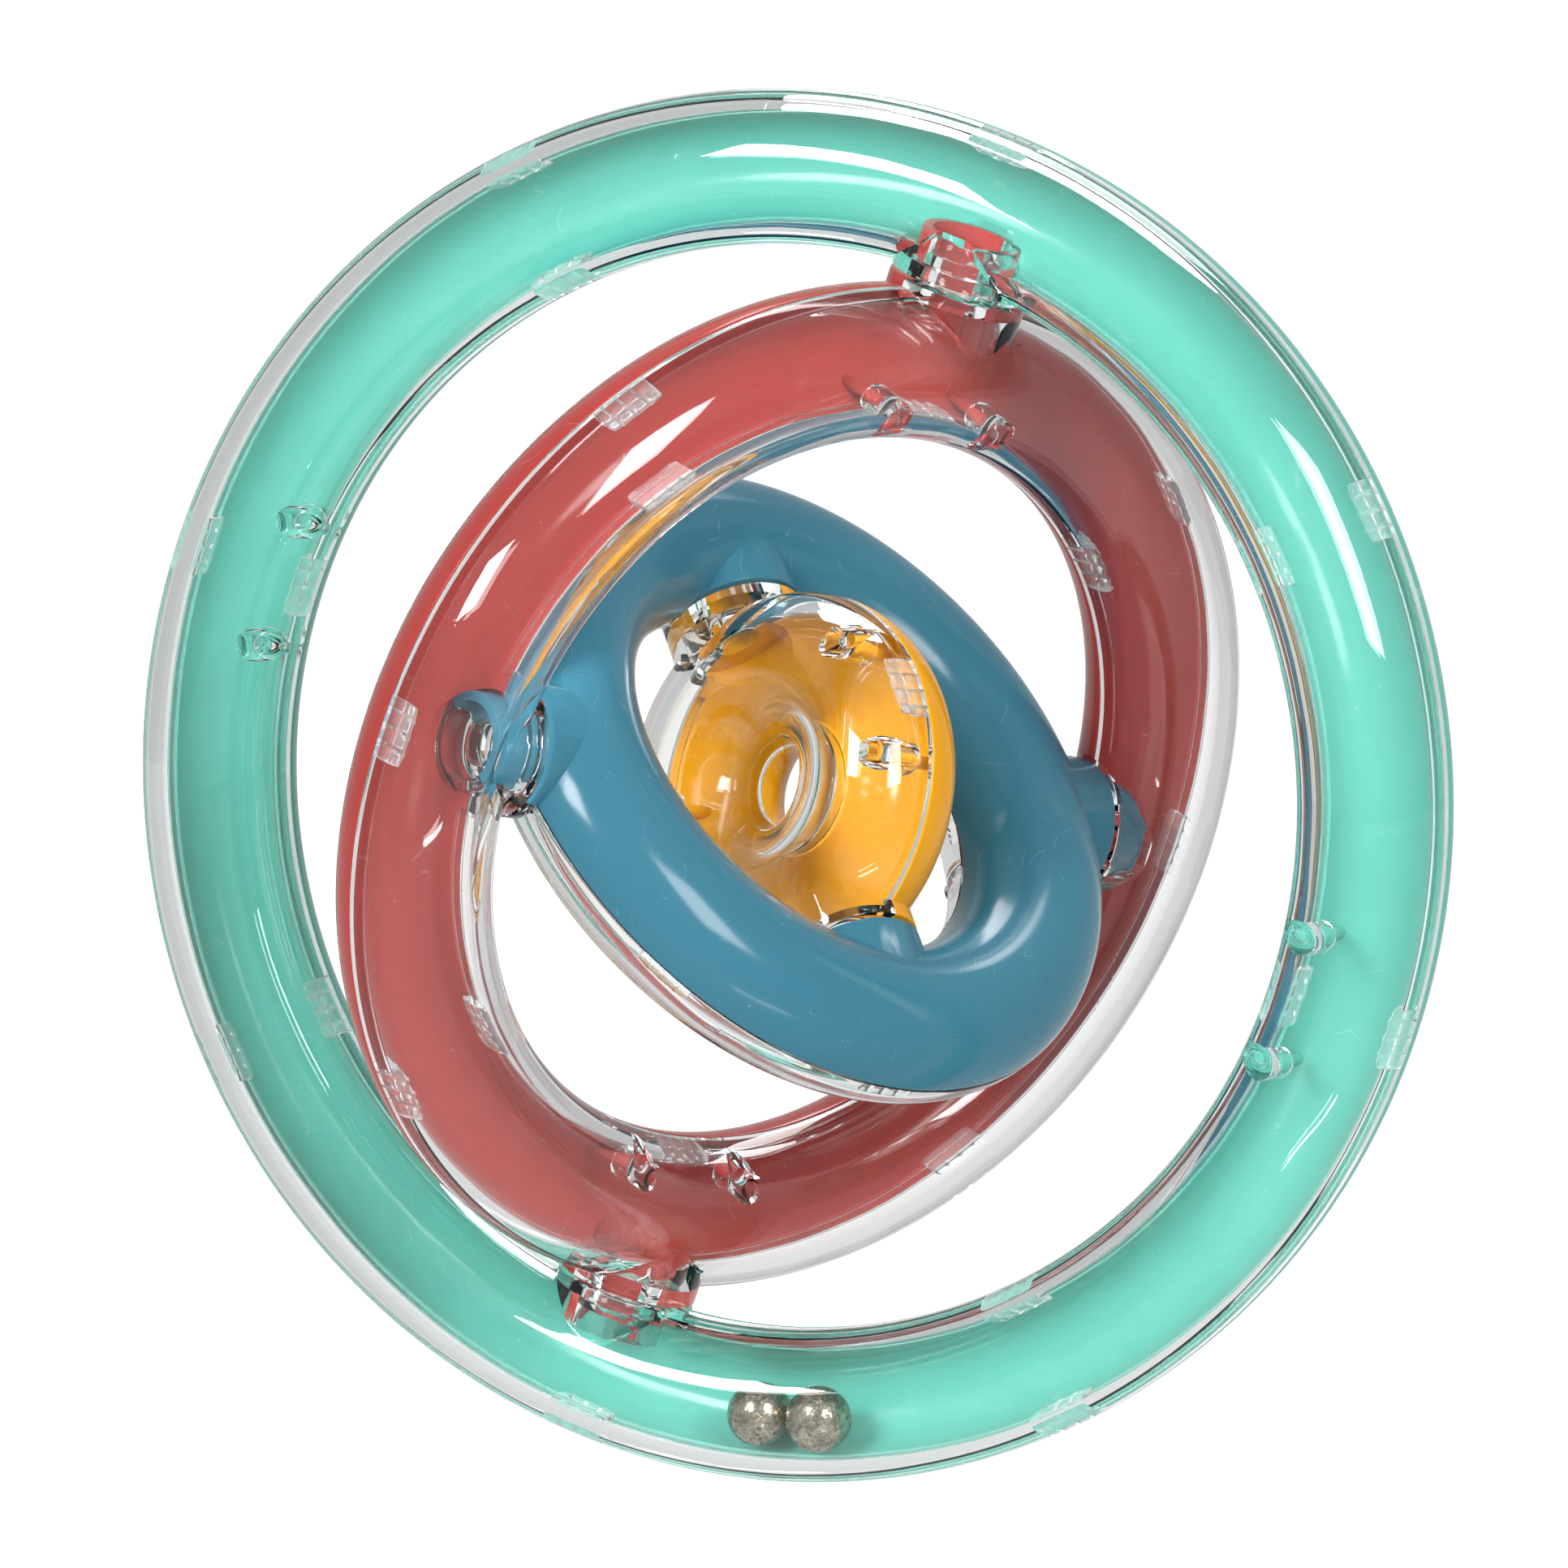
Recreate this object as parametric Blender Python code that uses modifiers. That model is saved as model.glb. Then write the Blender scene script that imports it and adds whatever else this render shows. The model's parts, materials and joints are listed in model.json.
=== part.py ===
"""Gyroscope baby rattle: four nested split rings on crossed pivots, with two steel balls.

Every ring is a hollow round tube made of a clear shell and a coloured shell that meet in
the ring's middle plane.  Each ring carries the next one inside it on two trunnions, and
each pair of trunnions stands at right angles to the pair before it.

Local frame of a ring: Z is its axis, pointing to the clear side.  X runs through the
trunnions that hang it in its parent, Y runs through the sockets that hold its child.
Units are metres.
"""
import math

import bmesh
import bpy
from mathutils import Matrix

MM = 0.001

# Driving dimensions
OUTER_DIAMETER = 125.0 * MM
TUBE_RADIUS = 6.95 * MM          # outside of every tube
WALL = 1.8 * MM
RING_GAPS = (1.0 * MM, 1.1 * MM, 1.1 * MM)   # tube to tube, outermost pair first
BALL_RADIUS = 3.0 * MM

# How far each ring is turned about its own trunnions, and the lean of the first pair
PIVOT_LEAN = math.radians(19.4)
MIDDLE_TURN = math.radians(59.6)
INNER_TURN = math.radians(-124.9)
CENTRE_TURN = math.radians(96.0)

# Fits
FIT = 0.3 * MM                   # between any two pieces
BALL_CLEARANCE = 0.2 * MM        # between a rolling ball and what it passes

# Seam between the two shells of a ring
SEAM_TONGUE = 1.0 * MM           # how far the clear tongue dips into the coloured shell
TONGUE_SHARE = 0.39              # share of the wall that the tongue takes

# Trunnions and their sockets
BOSS_INSET = 0.65 * MM           # of a boss's side from the tube's side
BOSS_RISE = 0.33 * MM            # how far a boss stands proud of its tube
FLANGE_INSET = 0.65 * MM         # of a flange's rim from the bore's side
NECK_STEP = 1.3 * MM             # from the flange's rim in to the neck
FLANGE_BALL_GAP = 1.05 * MM      # between a flange's end and a passing ball
SOCKET_LIP = 1.0 * MM            # wall left between the tube's skin and the flange

# Snap tabs on the clear shell
TAB_PITCH = math.radians(45.0)
TAB_LENGTH = 6.0 * MM
TAB_RISE = 0.75 * MM             # how far a tab stands into the bore
TAB_ROOT = 0.45 * MM             # how far it sinks into the wall
TAB_ABOVE = 2.2 * MM
TAB_BELOW = 2.0 * MM

# Locating pins beside the tab
PIN_OFFSET = 6.0 * MM            # along the ring, to each side of the tab
PIN_INSET = 1.45 * MM            # of the pin's axis from the bore's wall
SLEEVE_RADIUS = 1.5 * MM
SLEEVE_BORE = 0.9 * MM
PIN_RADIUS = 0.6 * MM
PIN_REACH = 1.8 * MM             # above the seam
SLEEVE_START = 0.3 * MM          # above the seam

# Facets
TUBE_FACETS = 16
BORE_FACETS = 10
PIVOT_FACETS = 20
PIN_FACETS = 8
RING_FACETS = (48, 40, 32, 24)
BALL_FACETS = (20, 12)
MERGE = 1e-6

BORE_RADIUS = TUBE_RADIUS - WALL
BOSS_RADIUS = TUBE_RADIUS - BOSS_INSET
FLANGE_RADIUS = BORE_RADIUS - FLANGE_INSET
NECK_RADIUS = FLANGE_RADIUS - NECK_STEP
BALL_OFFSET = BORE_RADIUS - TAB_RISE - BALL_CLEARANCE - BALL_RADIUS   # path past the centre line
FLANGE_THICKNESS = (TUBE_RADIUS - SOCKET_LIP - FIT
                    + BALL_OFFSET - BALL_RADIUS - FLANGE_BALL_GAP)
OUTER_RADIUS = OUTER_DIAMETER / 2 - TUBE_RADIUS
MIDDLE_RADIUS = OUTER_RADIUS - 2 * TUBE_RADIUS - RING_GAPS[0]
INNER_RADIUS = MIDDLE_RADIUS - 2 * TUBE_RADIUS - RING_GAPS[1]
CENTRE_RADIUS = INNER_RADIUS - 2 * TUBE_RADIUS - RING_GAPS[2]

COLOURS = {
    "mint_plastic": ("#62C9B2", 0.22, 0.0, 0.0),
    "red_plastic": ("#C25A50", 0.22, 0.0, 0.0),
    "blue_plastic": ("#437F94", 0.22, 0.0, 0.0),
    "yellow_plastic": ("#F0A42C", 0.22, 0.0, 0.0),
    "clear_plastic": ("#EEF4F4", 0.06, 0.0, 1.0),
    "steel": ("#9A958A", 0.30, 1.0, 0.0),
}


def linear(hex_colour):
    """Scene-linear RGBA of an sRGB hex colour."""
    channels = [int(hex_colour[i:i + 2], 16) / 255 for i in (1, 3, 5)]
    return [c / 12.92 if c <= 0.04045 else ((c + 0.055) / 1.055) ** 2.4 for c in channels] + [1.0]


def material(name):
    """The Principled material of that name, made once."""
    found = bpy.data.materials.get(name)
    if found:
        return found
    colour, roughness, metallic, transmission = COLOURS[name]
    made = bpy.data.materials.new(name)
    made.use_nodes = True
    shader = made.node_tree.nodes["Principled BSDF"]
    shader.inputs["Base Color"].default_value = linear(colour)
    shader.inputs["Roughness"].default_value = roughness
    shader.inputs["Metallic"].default_value = metallic
    shader.inputs["Transmission Weight"].default_value = transmission
    return made


def clear_scene():
    """Remove what the start-up file holds and make the two collections."""
    for thing in list(bpy.data.objects):
        bpy.data.objects.remove(thing, do_unlink=True)
    for name in ("baby_rattle", "cutters"):
        collection = bpy.data.collections.new(name)
        bpy.context.scene.collection.children.link(collection)


def add_object(name, mesh, frame, collection="cutters", material_name=None):
    """Link a mesh under a ring's frame, as a part or as a hidden cutter."""
    thing = bpy.data.objects.new(name, mesh)
    bpy.data.collections[collection].objects.link(thing)
    thing.parent = frame
    if material_name:
        mesh.materials.append(material(material_name))
    else:
        thing.hide_render = True
        thing.display_type = "WIRE"
    return thing


def profile_mesh(name, points, closed):
    """A mesh of edges through the points."""
    mesh = bmesh.new()
    corners = [mesh.verts.new(point) for point in points]
    for first, second in zip(corners, corners[1:]):
        mesh.edges.new((first, second))
    if closed:
        mesh.edges.new((corners[-1], corners[0]))
    data = bpy.data.meshes.new(name)
    mesh.to_mesh(data)
    mesh.free()
    return data


def add_screw(thing, axis, steps):
    """A full turn of the object's profile, which runs down its outer side, about an axis."""
    screw = thing.modifiers.new("turn", "SCREW")
    screw.axis = axis
    screw.steps = steps
    screw.render_steps = steps
    screw.use_merge_vertices = True
    screw.merge_threshold = MERGE


def add_boolean(thing, operation, other):
    """Join, cut or keep with another object."""
    step = thing.modifiers.new(operation.lower(), "BOOLEAN")
    step.operation = operation
    step.solver = "EXACT"
    step.object = other


def around(angle, points):
    """Profile points (across, height) stood in the plane at that angle about Z."""
    return [(across * math.cos(angle), across * math.sin(angle), height)
            for across, height in points]


def turned_ring(name, tube, facets, ring, **keys):
    """A torus: a circle of the tube's radius turned about Z, its facets from the ring's start."""
    turn = 2 * math.pi / facets
    circle = [(ring["radius"] + tube * math.cos(turn * i), -tube * math.sin(turn * i))
              for i in range(facets)]
    mesh = profile_mesh(name, around(ring["start"], circle), True)
    thing = add_object(name, mesh, ring["frame"], **keys)
    add_screw(thing, "Z", ring["steps"])
    return thing


def turned_pair(name, outline, axis, frame):
    """A pair of turned solids on +axis and -axis; outline holds (along, radius) points."""
    half_facet = math.pi / PIVOT_FACETS
    cosine, sine = math.cos(half_facet), math.sin(half_facet)
    if axis == "X":
        points = [(along, radius * cosine, radius * sine) for along, radius in reversed(outline)]
    else:
        points = [(radius * cosine, along, -radius * sine) for along, radius in reversed(outline)]
    thing = add_object(name, profile_mesh(name, points, False), frame)
    add_screw(thing, axis, PIVOT_FACETS)
    mirror = thing.modifiers.new("other side", "MIRROR")
    mirror.use_axis = (axis == "X", axis == "Y", False)
    mirror.use_mirror_merge = False
    return thing


def splitter(name, side, ring):
    """The space one shell may fill: its side of the seam, with the tongue or its groove."""
    radius = ring["radius"]
    tongue = BORE_RADIUS + WALL * TONGUE_SHARE
    if side > 0:
        seam, step, depth = FIT / 2, tongue, -SEAM_TONGUE
    else:
        seam, step, depth = -FIT / 2, tongue + FIT, -SEAM_TONGUE - FIT
    reach = radius + 2 * TUBE_RADIUS
    outline = [
        (0.0, seam),
        (radius - step, seam),
        (radius - step, depth),
        (radius + step, depth),
        (radius + step, seam),
        (reach, seam),
        (reach, side * 2 * TUBE_RADIUS),
        (0.0, side * 2 * TUBE_RADIUS),
    ]
    if side > 0:
        outline.reverse()
    points = around(ring["start"] + math.pi / ring["steps"], outline)
    thing = add_object(name, profile_mesh(name, points, False), ring["frame"])
    add_screw(thing, "Z", ring["steps"])
    return thing


def child_boss(name, radius, frame):
    """The collars on the inner wall that face the child's trunnions, before they are faced."""
    start = radius - TUBE_RADIUS - 2 * BOSS_RISE
    end = radius - math.sqrt(TUBE_RADIUS ** 2 - BOSS_RADIUS ** 2)
    return turned_pair(name, [(start, 0.0), (start, BOSS_RADIUS), (end, BOSS_RADIUS), (end, 0.0)],
                       "Y", frame)


def socket(name, radius, frame):
    """The cut for a child's trunnions: a faced seat, a neck hole and a pocket behind it."""
    skin = radius - TUBE_RADIUS
    seat = BOSS_RADIUS + FIT
    hole = NECK_RADIUS + FIT
    pocket = FLANGE_RADIUS + FIT
    floor = skin + SOCKET_LIP
    back = floor + FLANGE_THICKNESS + 3 * FIT
    outline = [
        (skin - BOSS_RADIUS / 2, 0.0),
        (skin - BOSS_RADIUS / 2, seat),
        (skin - BOSS_RISE, seat),
        (skin - BOSS_RISE, hole),
        (floor, hole),
        (floor, pocket),
        (back, pocket),
        (back, 0.0),
    ]
    return turned_pair(name, outline, "Y", frame)


def trunnions(name, radius, gap, frame):
    """Boss, neck and flange on the outer wall, reaching through the parent's socket."""
    skin = radius + TUBE_RADIUS
    root = radius + math.sqrt(TUBE_RADIUS ** 2 - BOSS_RADIUS ** 2)
    flange = skin + gap + SOCKET_LIP + FIT
    outline = [
        (root, 0.0),
        (root, BOSS_RADIUS),
        (skin + BOSS_RISE, BOSS_RADIUS),
        (skin + BOSS_RISE, NECK_RADIUS),
        (flange, NECK_RADIUS),
        (flange, FLANGE_RADIUS),
        (flange + FLANGE_THICKNESS, FLANGE_RADIUS),
        (flange + FLANGE_THICKNESS, 0.0),
    ]
    return turned_pair(name, outline, "X", frame)


def tab_places(radius, has_child, has_parent):
    """(angle, side of the tube) of each snap tab; side is +1 on the outer wall."""
    places = []
    for step in range(round(2 * math.pi / TAB_PITCH)):
        angle = step * TAB_PITCH
        on_x = abs(math.sin(angle)) < 0.01
        on_y = abs(math.cos(angle)) < 0.01
        if radius < 2 * TUBE_RADIUS and not on_y:
            continue
        if not (has_parent and on_x):
            places.append((angle, 1))
        if radius > 2 * TUBE_RADIUS and not (has_child and on_y):
            places.append((angle, -1))
    return places


def tab_blocks(name, radius, places, margin, frame):
    """Blocks at the tab places, grown by a margin for the pockets that take them."""
    mesh = bmesh.new()
    for angle, side in places:
        near = BORE_RADIUS - TAB_RISE - margin
        far = BORE_RADIUS + TAB_ROOT + margin
        across = radius + side * (near + far) / 2
        made = bmesh.ops.create_cube(mesh, size=1.0)["verts"]
        bmesh.ops.scale(mesh, verts=made, vec=(
            far - near, TAB_LENGTH + 2 * margin, TAB_ABOVE + TAB_BELOW + 2 * margin))
        bmesh.ops.translate(mesh, verts=made, vec=(across, 0.0, (TAB_ABOVE - TAB_BELOW) / 2))
        bmesh.ops.rotate(mesh, verts=made, cent=(0.0, 0.0, 0.0),
                         matrix=Matrix.Rotation(angle, 3, "Z"))
    data = bpy.data.meshes.new(name)
    mesh.to_mesh(data)
    mesh.free()
    return add_object(name, data, frame)


def pin_places(radius, has_child):
    """Centres of the locating pins, in pairs beside the tabs a quarter turn from the child."""
    side = -1 if has_child else 1
    across = radius + side * (BORE_RADIUS - PIN_INSET)
    turn = PIN_OFFSET / across
    base = 0.0 if has_child else math.pi / 2
    places = []
    for angle in (base, base + math.pi):
        for offset in (turn, -turn):
            places.append((across * math.cos(angle + offset), across * math.sin(angle + offset)))
    return places


def pin_set(name, places, radius, bottom, top, frame):
    """Upright round pins at the given places."""
    mesh = bmesh.new()
    for x, y in places:
        made = bmesh.ops.create_cone(mesh, cap_ends=True, segments=PIN_FACETS, radius1=radius,
                                     radius2=radius, depth=top - bottom)["verts"]
        bmesh.ops.translate(mesh, verts=made, vec=(x, y, (top + bottom) / 2))
    data = bpy.data.meshes.new(name)
    mesh.to_mesh(data)
    mesh.free()
    return add_object(name, data, frame)


def ring_shell(ring, side, material_name):
    """One shell of a ring: the clear one on side +1, the coloured one on side -1."""
    name = ring["name"] + ("_clear_shell" if side > 0 else "_colour_shell")
    radius, frame = ring["radius"], ring["frame"]
    shell = turned_ring(name, TUBE_RADIUS, TUBE_FACETS, ring, collection="baby_rattle",
                        material_name=material_name)
    if ring["has_child"]:
        add_boolean(shell, "UNION", ring["child_boss"])
    if ring["gap"]:
        add_boolean(shell, "UNION", ring["trunnions"])
    add_boolean(shell, "DIFFERENCE", ring["bore"])
    if ring["has_child"]:
        add_boolean(shell, "DIFFERENCE", ring["socket"])
    add_boolean(shell, "INTERSECT", splitter(name + "_side", side, ring))
    wall_middle = math.sqrt(TUBE_RADIUS ** 2 - (BORE_RADIUS - PIN_INSET) ** 2) - WALL / 2
    if side > 0:
        add_boolean(shell, "UNION", tab_blocks(name + "_tabs", radius, ring["tabs"], 0.0, frame))
        add_boolean(shell, "UNION", pin_set(name + "_sleeves", ring["pins"], SLEEVE_RADIUS,
                                            SLEEVE_START, wall_middle, frame))
        add_boolean(shell, "DIFFERENCE", pin_set(name + "_sleeve_bores", ring["pins"], SLEEVE_BORE,
                                                 -FIT, PIN_REACH + FIT, frame))
    else:
        add_boolean(shell, "DIFFERENCE", tab_blocks(name + "_pockets", radius, ring["tabs"], FIT,
                                                    frame))
        add_boolean(shell, "UNION", pin_set(name + "_pins", ring["pins"], PIN_RADIUS,
                                            -wall_middle, PIN_REACH, frame))
    return shell


def add_ring(name, radius, gap, has_child, steps, frame, colour, start=0.0):
    """Both shells of a ring, with the solids that they share as cutters."""
    ring = {"name": name, "radius": radius, "gap": gap, "has_child": has_child, "steps": steps,
            "frame": frame, "start": start}
    ring["bore"] = turned_ring(name + "_bore", BORE_RADIUS, BORE_FACETS, ring)
    if has_child:
        ring["child_boss"] = child_boss(name + "_collars", radius, frame)
        ring["socket"] = socket(name + "_sockets", radius, frame)
    if gap:
        ring["trunnions"] = trunnions(name + "_trunnions", radius, gap, frame)
    ring["tabs"] = tab_places(radius, has_child, bool(gap))
    ring["pins"] = pin_places(radius, has_child)
    ring_shell(ring, -1, colour)
    ring_shell(ring, 1, "clear_plastic")


def add_frame(name, parent, angles):
    """An empty at the shared centre, turned into a ring's local frame."""
    empty = bpy.data.objects.new(name, None)
    bpy.data.collections["baby_rattle"].objects.link(empty)
    empty.parent = parent
    empty.rotation_euler = angles
    empty.empty_display_size = 2 * BALL_RADIUS
    return empty


def add_balls(frame):
    """Two balls side by side at the lowest point of the outer ring's tube."""
    path = OUTER_RADIUS + BALL_OFFSET
    stagger = BALL_RADIUS / 6
    apart = math.sqrt((2 * BALL_RADIUS + FIT / 3) ** 2 - (2 * stagger) ** 2)
    half_angle = math.asin(apart / 2 / path)
    lowest = -math.pi / 2 + PIVOT_LEAN
    for number, side in ((1, -1), (2, 1)):
        mesh = bmesh.new()
        bmesh.ops.create_uvsphere(mesh, u_segments=BALL_FACETS[0], v_segments=BALL_FACETS[1],
                                  radius=BALL_RADIUS)
        data = bpy.data.meshes.new("steel_ball_%d" % number)
        mesh.to_mesh(data)
        mesh.free()
        ball = add_object(data.name, data, frame, "baby_rattle", "steel")
        angle = lowest + side * half_angle
        ball.location = (path * math.cos(angle), path * math.sin(angle), side * stagger)


def main():
    """Build the rattle."""
    clear_scene()
    quarter = math.pi / 2
    outer = add_frame("outer_frame", None, (quarter, PIVOT_LEAN, 0.0))
    middle = add_frame("middle_frame", outer, (MIDDLE_TURN, 0.0, quarter))
    inner = add_frame("inner_frame", middle, (INNER_TURN, 0.0, quarter))
    centre = add_frame("centre_frame", inner, (CENTRE_TURN, 0.0, quarter))
    add_ring("outer_ring", OUTER_RADIUS, 0.0, True, RING_FACETS[0], outer, "mint_plastic",
             start=PIVOT_LEAN)
    add_ring("middle_ring", MIDDLE_RADIUS, RING_GAPS[0], True, RING_FACETS[1], middle, "red_plastic")
    add_ring("inner_ring", INNER_RADIUS, RING_GAPS[1], True, RING_FACETS[2], inner, "blue_plastic")
    add_ring("centre_disc", CENTRE_RADIUS, RING_GAPS[2], False, RING_FACETS[3], centre,
             "yellow_plastic")
    add_balls(outer)


main()
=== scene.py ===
"""Gyroscope baby rattle: fine surfaces, plastics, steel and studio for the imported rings.

Every ring is a hollow tube of two shells that meet in its middle plane, one clear and one
coloured.  A ring's own frame has Z towards its clear side, X through the trunnions that
hang it and Y through the sockets that hold the ring inside it.  A point of a tube is given
as (u, v): u outwards from the tube's centre line, v towards the clear side.
"""
import json
import math

import bpy
import numpy as np
from bpy.props import FloatProperty, FloatVectorProperty, IntProperty, PointerProperty
from mathutils import Matrix, Vector


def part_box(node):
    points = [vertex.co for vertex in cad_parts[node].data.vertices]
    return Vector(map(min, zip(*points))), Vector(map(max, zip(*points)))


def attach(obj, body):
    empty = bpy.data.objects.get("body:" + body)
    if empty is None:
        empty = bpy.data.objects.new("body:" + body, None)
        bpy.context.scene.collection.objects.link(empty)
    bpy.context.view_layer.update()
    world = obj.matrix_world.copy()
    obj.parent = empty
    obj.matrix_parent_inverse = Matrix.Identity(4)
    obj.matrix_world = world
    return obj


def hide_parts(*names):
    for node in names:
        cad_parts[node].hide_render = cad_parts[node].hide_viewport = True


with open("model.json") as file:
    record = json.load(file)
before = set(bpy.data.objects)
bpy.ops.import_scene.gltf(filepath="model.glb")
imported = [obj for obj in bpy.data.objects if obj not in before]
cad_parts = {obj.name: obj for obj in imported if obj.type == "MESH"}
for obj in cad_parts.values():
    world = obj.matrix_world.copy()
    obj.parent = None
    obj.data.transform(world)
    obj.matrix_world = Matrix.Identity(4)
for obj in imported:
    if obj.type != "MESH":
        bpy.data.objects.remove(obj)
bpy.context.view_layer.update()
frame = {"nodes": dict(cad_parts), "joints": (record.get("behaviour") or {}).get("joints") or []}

bl_info = {
    "name": "Gyroscope Rattle",
    "version": (1, 0, 0),
    "blender": (4, 5, 0),
    "location": "View3D > Sidebar > Rattle",
    "description": "Builds the clear and coloured rings of a gyroscope rattle with its steel balls",
    "category": "Add Mesh",
}

MM = 0.001
AXES = {joint["child"]: np.array(joint["axis"], float) for joint in frame["joints"]}
RINGS = ("outer_ring", "middle_ring", "inner_ring", "centre_disc")
GAPS = (1.0 * MM, 1.1 * MM, 1.1 * MM)          # between each ring and the next one in
CREASE = 38          # degrees; a sharper edge is shaded as an edge

# Radiance of the studio by the path of the light that meets it: straight to the eye, only
# refracted, trapped in clear plastic by several reflections, mirrored once, or soft fill.
SKY = {"eye": 1.1, "trapped": 0.95, "mirrored": 0.58, "soft": 0.55}
FLOOR = {"eye": 1.0, "trapped": 0.8, "mirrored": 0.42, "soft": 0.75}
FLOOR_LEVEL, FLOOR_RADIUS = -0.8, 9.0

# Name, azimuth, elevation (degrees), distance, width, height (metres), power (watts)
SOFTBOXES = (
    ("key right", 50, 22, 1.6, 0.5, 0.65, 18.0),
    ("key left", -18, 27, 1.6, 0.42, 0.42, 18.0),
    ("low strip", 38, -37, 1.4, 0.5, 0.16, 6.0),
    ("back top", 180, 55, 1.6, 1.2, 0.5, 16.0),
)
CAMERA = {"azimuth": 21.67, "elevation": 5.37, "distance": 2.114, "lens": 543.6,
          "shift": (-0.00507, 0.0016)}


# ---------------------------------------------------------------- sizes and colours

def length(label, text, millimetres):
    """A length property, its default in millimetres."""
    return FloatProperty(name=label, description=text, default=millimetres * MM, min=0.0,
                         unit="LENGTH", precision=5)


def colour(label, text, code):
    """A colour property, its default a six-digit hex code."""
    parts = [int(code[i:i + 2], 16) / 255 for i in (0, 2, 4)]
    linear = [c / 12.92 if c <= 0.04045 else ((c + 0.055) / 1.055) ** 2.4 for c in parts]
    return FloatVectorProperty(name=label, description=text, subtype="COLOR", size=3, min=0.0,
                               max=1.0, default=linear)


class RattleSizes(bpy.types.PropertyGroup):
    """Lengths of the mouldings."""
    tube_radius: length("Tube radius", "Outside radius of every tube", 6.95)
    wall: length("Wall", "Thickness of both shells", 1.8)
    seam: length("Seam", "Open width of the parting line", 0.07)
    edge: length("Edge", "Rounding of moulded edges", 0.16)
    tongue_depth: length("Tongue depth", "How far the clear tongue dips", 1.0)
    tongue_width: length("Tongue width", "Thickness of the clear tongue", 0.72)
    boss_radius: length("Boss radius", "Radius of the collars round the pivots", 6.3)
    boss_rise: length("Boss rise", "How far a collar stands off its tube", 0.33)
    boss_hollow: length("Boss hollow", "Radius of the hollow inside a trunnion's root", 4.7)
    neck_radius: length("Neck radius", "Radius of a trunnion's neck", 3.2)
    neck_hollow: length("Neck hollow", "Radius of the hole through a neck", 2.1)
    flange_radius: length("Flange radius", "Radius of a trunnion's flange", 4.5)
    flange_depth: length("Flange depth", "Length of a trunnion's flange", 2.8)
    flange_wall: length("Flange wall", "Wall of the cupped flange", 1.0)
    lip: length("Lip", "Wall between a flange and the tube's skin", 1.0)
    fit: length("Fit", "Running clearance of the pivots", 0.2)
    tab_length: length("Tab length", "Length of a snap tab along the ring", 5.6)
    tab_rise: length("Tab rise", "How far a tab stands into the tube", 0.95)
    tab_above: length("Tab above", "Tab height on the clear side", 2.1)
    tab_below: length("Tab below", "Tab height past the seam", 1.9)
    pin_offset: length("Pin offset", "From a tab's middle to the pin beside it", 6.0)
    pin_inset: length("Pin inset", "From the bore's wall to a pin's axis", 1.45)
    sleeve_radius: length("Sleeve radius", "Outside radius of a pin sleeve", 1.5)
    sleeve_hollow: length("Sleeve hollow", "Inside radius of a pin sleeve", 0.9)
    pin_radius: length("Pin radius", "Radius of a locating pin", 0.6)
    ball_radius: length("Ball radius", "Radius of a steel ball", 3.0)
    steps: IntProperty(name="Steps", description="Grid steps round the outer ring", default=288,
                       min=48)


class RattleColours(bpy.types.PropertyGroup):
    """Colours of the plastics, the steel and the studio."""
    mint: colour("Mint", "Coloured shell of the outer ring", "4E9B8D")
    red: colour("Red", "Coloured shell of the middle ring", "9C3834")
    blue: colour("Blue", "Coloured shell of the inner ring", "346A7D")
    yellow: colour("Yellow", "Coloured shell of the centre disc", "CF8E12")
    clear: colour("Clear", "Tint of the clear plastic", "F9FBFB")
    steel: colour("Steel", "Face colour of the balls", "C4BAA6")
    floor: colour("Floor", "Studio floor", "FFFFFF")


# ---------------------------------------------------------------- surfaces

def rounded(points, radius, steps=3):
    """A closed outline with each corner sharper than 25 degrees swapped for an arc.

    The arc is the quadratic curve from a radius before the corner to a radius after it.
    """
    points = np.asarray(points, float)
    before, after = np.roll(points, 1, 0) - points, np.roll(points, -1, 0) - points
    near, far = np.linalg.norm(before, axis=1), np.linalg.norm(after, axis=1)
    before, after = before / near[:, None], after / far[:, None]
    corner = (before * after).sum(1) > -math.cos(math.radians(25))
    t = np.linspace(0, 1, steps + 1)[:, None]
    parts = []
    room = np.minimum(near, far) * 0.45
    for point, a, b, size, sharp in zip(points, before, after, room, corner):
        reach = min(radius, size)
        curve = ((1 - t) ** 2 * (point + a * reach) + 2 * t * (1 - t) * point
                 + t ** 2 * (point + b * reach))
        parts.append(curve if sharp else point[None])
    return np.concatenate(parts)


def outward(points, faces):
    """Faces turned so that the solid's signed volume is positive."""
    volume = 0.0
    for block in faces:
        first = points[block[:, 0]]
        for k in range(1, block.shape[1] - 1):
            cross = np.cross(points[block[:, k]], points[block[:, k + 1]])
            volume += float((first * cross).sum())
    return faces if volume > 0 else [block[:, ::-1] for block in faces]


def surface(rows, ring):
    """Closed surface over a grid of rows whose points run round a loop.

    A ring joins its last row to its first; otherwise both end rows shrink to a pole.
    """
    count, across = rows.shape[:2]
    index = np.arange(count * across).reshape(count, across)
    after = np.roll(index, -1, 1)
    if ring:
        below, below_after = np.roll(index, -1, 0), np.roll(after, -1, 0)
        faces = [np.stack([index, after, below_after, below], -1).reshape(-1, 4)]
        return rows.reshape(-1, 3), faces
    points = np.concatenate([rows.reshape(-1, 3), rows[:1].mean(1), rows[-1:].mean(1)])
    first, last = count * across, count * across + 1
    faces = [
        np.stack([index[:-1], after[:-1], after[1:], index[1:]], -1).reshape(-1, 4),
        np.stack([after[0], index[0], np.full(across, first)], -1),
        np.stack([index[-1], after[-1], np.full(across, last)], -1),
    ]
    return points, faces


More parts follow.
